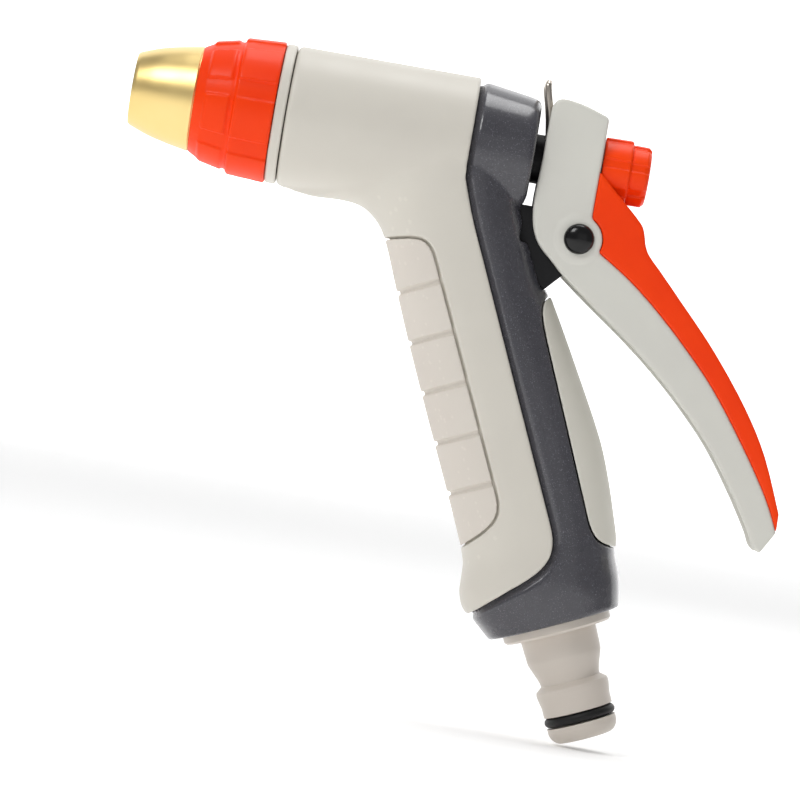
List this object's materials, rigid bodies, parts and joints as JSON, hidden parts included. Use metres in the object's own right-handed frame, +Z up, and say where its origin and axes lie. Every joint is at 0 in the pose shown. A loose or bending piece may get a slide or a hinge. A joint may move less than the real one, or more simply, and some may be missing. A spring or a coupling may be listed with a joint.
{
  "type": "hose spray nozzle",
  "caption": "Handheld hose spray nozzle: rear trigger lever opens a stem valve, a twist sleeve moves the brass tip, a knob sets the flow and a grooved tail takes a push-on hose coupling.",
  "frame": {"origin": "centre of the spray outlet, on the barrel's axis at the brass tip's front face", "axes": "-X is the way the water leaves, +Z is up towards the barrel's top with the handle below, +Y goes across the handle"},
  "size_m": [0.1577, 0.0318, 0.1451],
  "materials": {
    "black_plastic": "satin",
    "light_shell": "satin",
    "dark_frame": "glossy with a fine speckle",
    "soft_grip": "matte soft-touch",
    "soft_grip_rear": "matte soft-touch",
    "brass": "satin turned",
    "rubber": "matte",
    "steel": "drawn wire and turned rod",
    "orange": "semi-gloss",
    "light_lever": "satin",
    "black_pin": "gloss black",
    "light_tail": "satin"
  },
  "bodies": {
    "body": {"valve_body": "black_plastic", "front_shell": "light_shell", "handle_frame": "dark_frame", "front_grip_pad": "soft_grip", "rear_grip_pad": "soft_grip_rear", "barrel_ring": "light_shell", "nozzle_spindle": "brass", "spindle_o_ring": "rubber", "sleeve_clip": "steel", "gland_nut": "black_plastic", "gland_o_rings": "rubber", "pivot_pin": "black_pin", "pin_cap": "black_pin", "hose_tail": "light_tail", "tail_o_ring": "rubber", "tail_washer": "rubber", "inlet_screen": "steel"},
    "stem": {"valve_stem": "steel", "valve_plug": "brass", "seat_washer": "rubber", "plug_nut": "brass", "return_spring": "steel"},
    "knob_washer": {"knob_washer": "steel"},
    "knob": {"flow_knob": "orange", "knob_insert": "brass"},
    "trigger": {"trigger_frame": "light_lever", "trigger_inlay": "orange"},
    "clip": {"hold_open_clip": "steel"},
    "sleeve": {"nozzle_sleeve": "orange"},
    "tip": {"brass_tip": "brass"}
  },
  "joints": [
    {"name": "trigger_squeeze", "type": "hinge", "parent": "body", "child": "trigger", "pos_m": [0.1033, 0, -0.0163], "axis": [0, 1, 0], "range_deg": [0, 20], "stiffness_Nm_per_rad": 0.8, "springref_deg": -17.19},
    {"name": "stem_slide", "type": "slide", "parent": "body", "child": "stem", "axis": [1, 0, 0], "range_m": [0, 0.00883], "deforming": ["return_spring"]},
    {"name": "knob_advance", "type": "slide", "parent": "stem", "child": "knob_washer", "axis": [1, 0, 0], "range_m": [0, 0.0016]},
    {"name": "knob_turn", "type": "hinge", "parent": "knob_washer", "child": "knob", "pos_m": [0.108, 0, 0], "axis": [1, 0, 0], "range_deg": [0, 720]},
    {"name": "sleeve_turn", "type": "hinge", "parent": "body", "child": "sleeve", "pos_m": [0.025, 0, 0], "axis": [1, 0, 0], "range_deg": [0, 450]},
    {"name": "tip_advance", "type": "slide", "parent": "sleeve", "child": "tip", "axis": [-1, 0, 0], "range_m": [0, 0.0025]},
    {"name": "clip_swing", "type": "hinge", "parent": "trigger", "child": "clip", "pos_m": [0.0943, 0, -0.004], "axis": [0, 1, 0], "range_deg": [-32.6, 0]}
  ],
  "couplings": [
    {"joint": "stem_slide", "follows": "trigger_squeeze", "m_per_rad": 0.025295},
    {"joint": "knob_turn", "follows": "knob_advance", "rad_per_m": 7854},
    {"joint": "sleeve_turn", "follows": "tip_advance", "rad_per_m": 3141.6},
    {"joint": "clip_swing", "follows": "trigger_squeeze", "ratio": -1.63}
  ]
}
